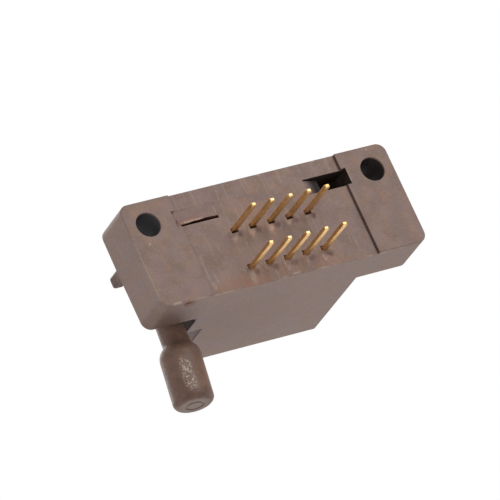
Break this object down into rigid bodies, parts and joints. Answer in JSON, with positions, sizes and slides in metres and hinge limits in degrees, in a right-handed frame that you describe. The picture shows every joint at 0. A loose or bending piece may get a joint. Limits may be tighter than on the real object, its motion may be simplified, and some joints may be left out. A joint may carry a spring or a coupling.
{
  "type": "ic socket",
  "caption": "Lever-operated zero-insertion-force socket: flanged block with lead entries on top, solder tails beneath, screw ears and a side lever with a round handle.",
  "frame": {"origin": "midway between the two screw holes, on the face that meets the board", "axes": "+X along the flange towards the lever, +Y towards the edge next to the screw holes, +Z away from the board"},
  "size_m": [0.0368, 0.0233, 0.026],
  "materials": {
    "housing_plastic": "fine-grained moulded surface with faint wear on its edges",
    "cover_plastic": "fine-grained moulded surface",
    "lever_plastic": "satin, with a slight orange peel",
    "shaft_steel": "ground",
    "gold_contact": "gold plated"
  },
  "bodies": {
    "base": {"housing": "housing_plastic", "top_cover": "cover_plastic", "retaining_wedge": "cover_plastic", "front_contact_1": "gold_contact", "rear_contact_1": "gold_contact", "front_contact_2": "gold_contact", "rear_contact_2": "gold_contact", "front_contact_3": "gold_contact", "rear_contact_3": "gold_contact", "front_contact_4": "gold_contact", "rear_contact_4": "gold_contact", "front_contact_5": "gold_contact", "rear_contact_5": "gold_contact"},
    "lever_arm": {"lever": "lever_plastic", "cam_shaft": "shaft_steel"}
  },
  "joints": [
    {"name": "lever_swing", "type": "hinge", "parent": "base", "child": "lever_arm", "pos_m": [0.01365, -0.00556, 0.0084], "axis": [-1, 0, 0], "range_deg": [0, 90]}
  ]
}
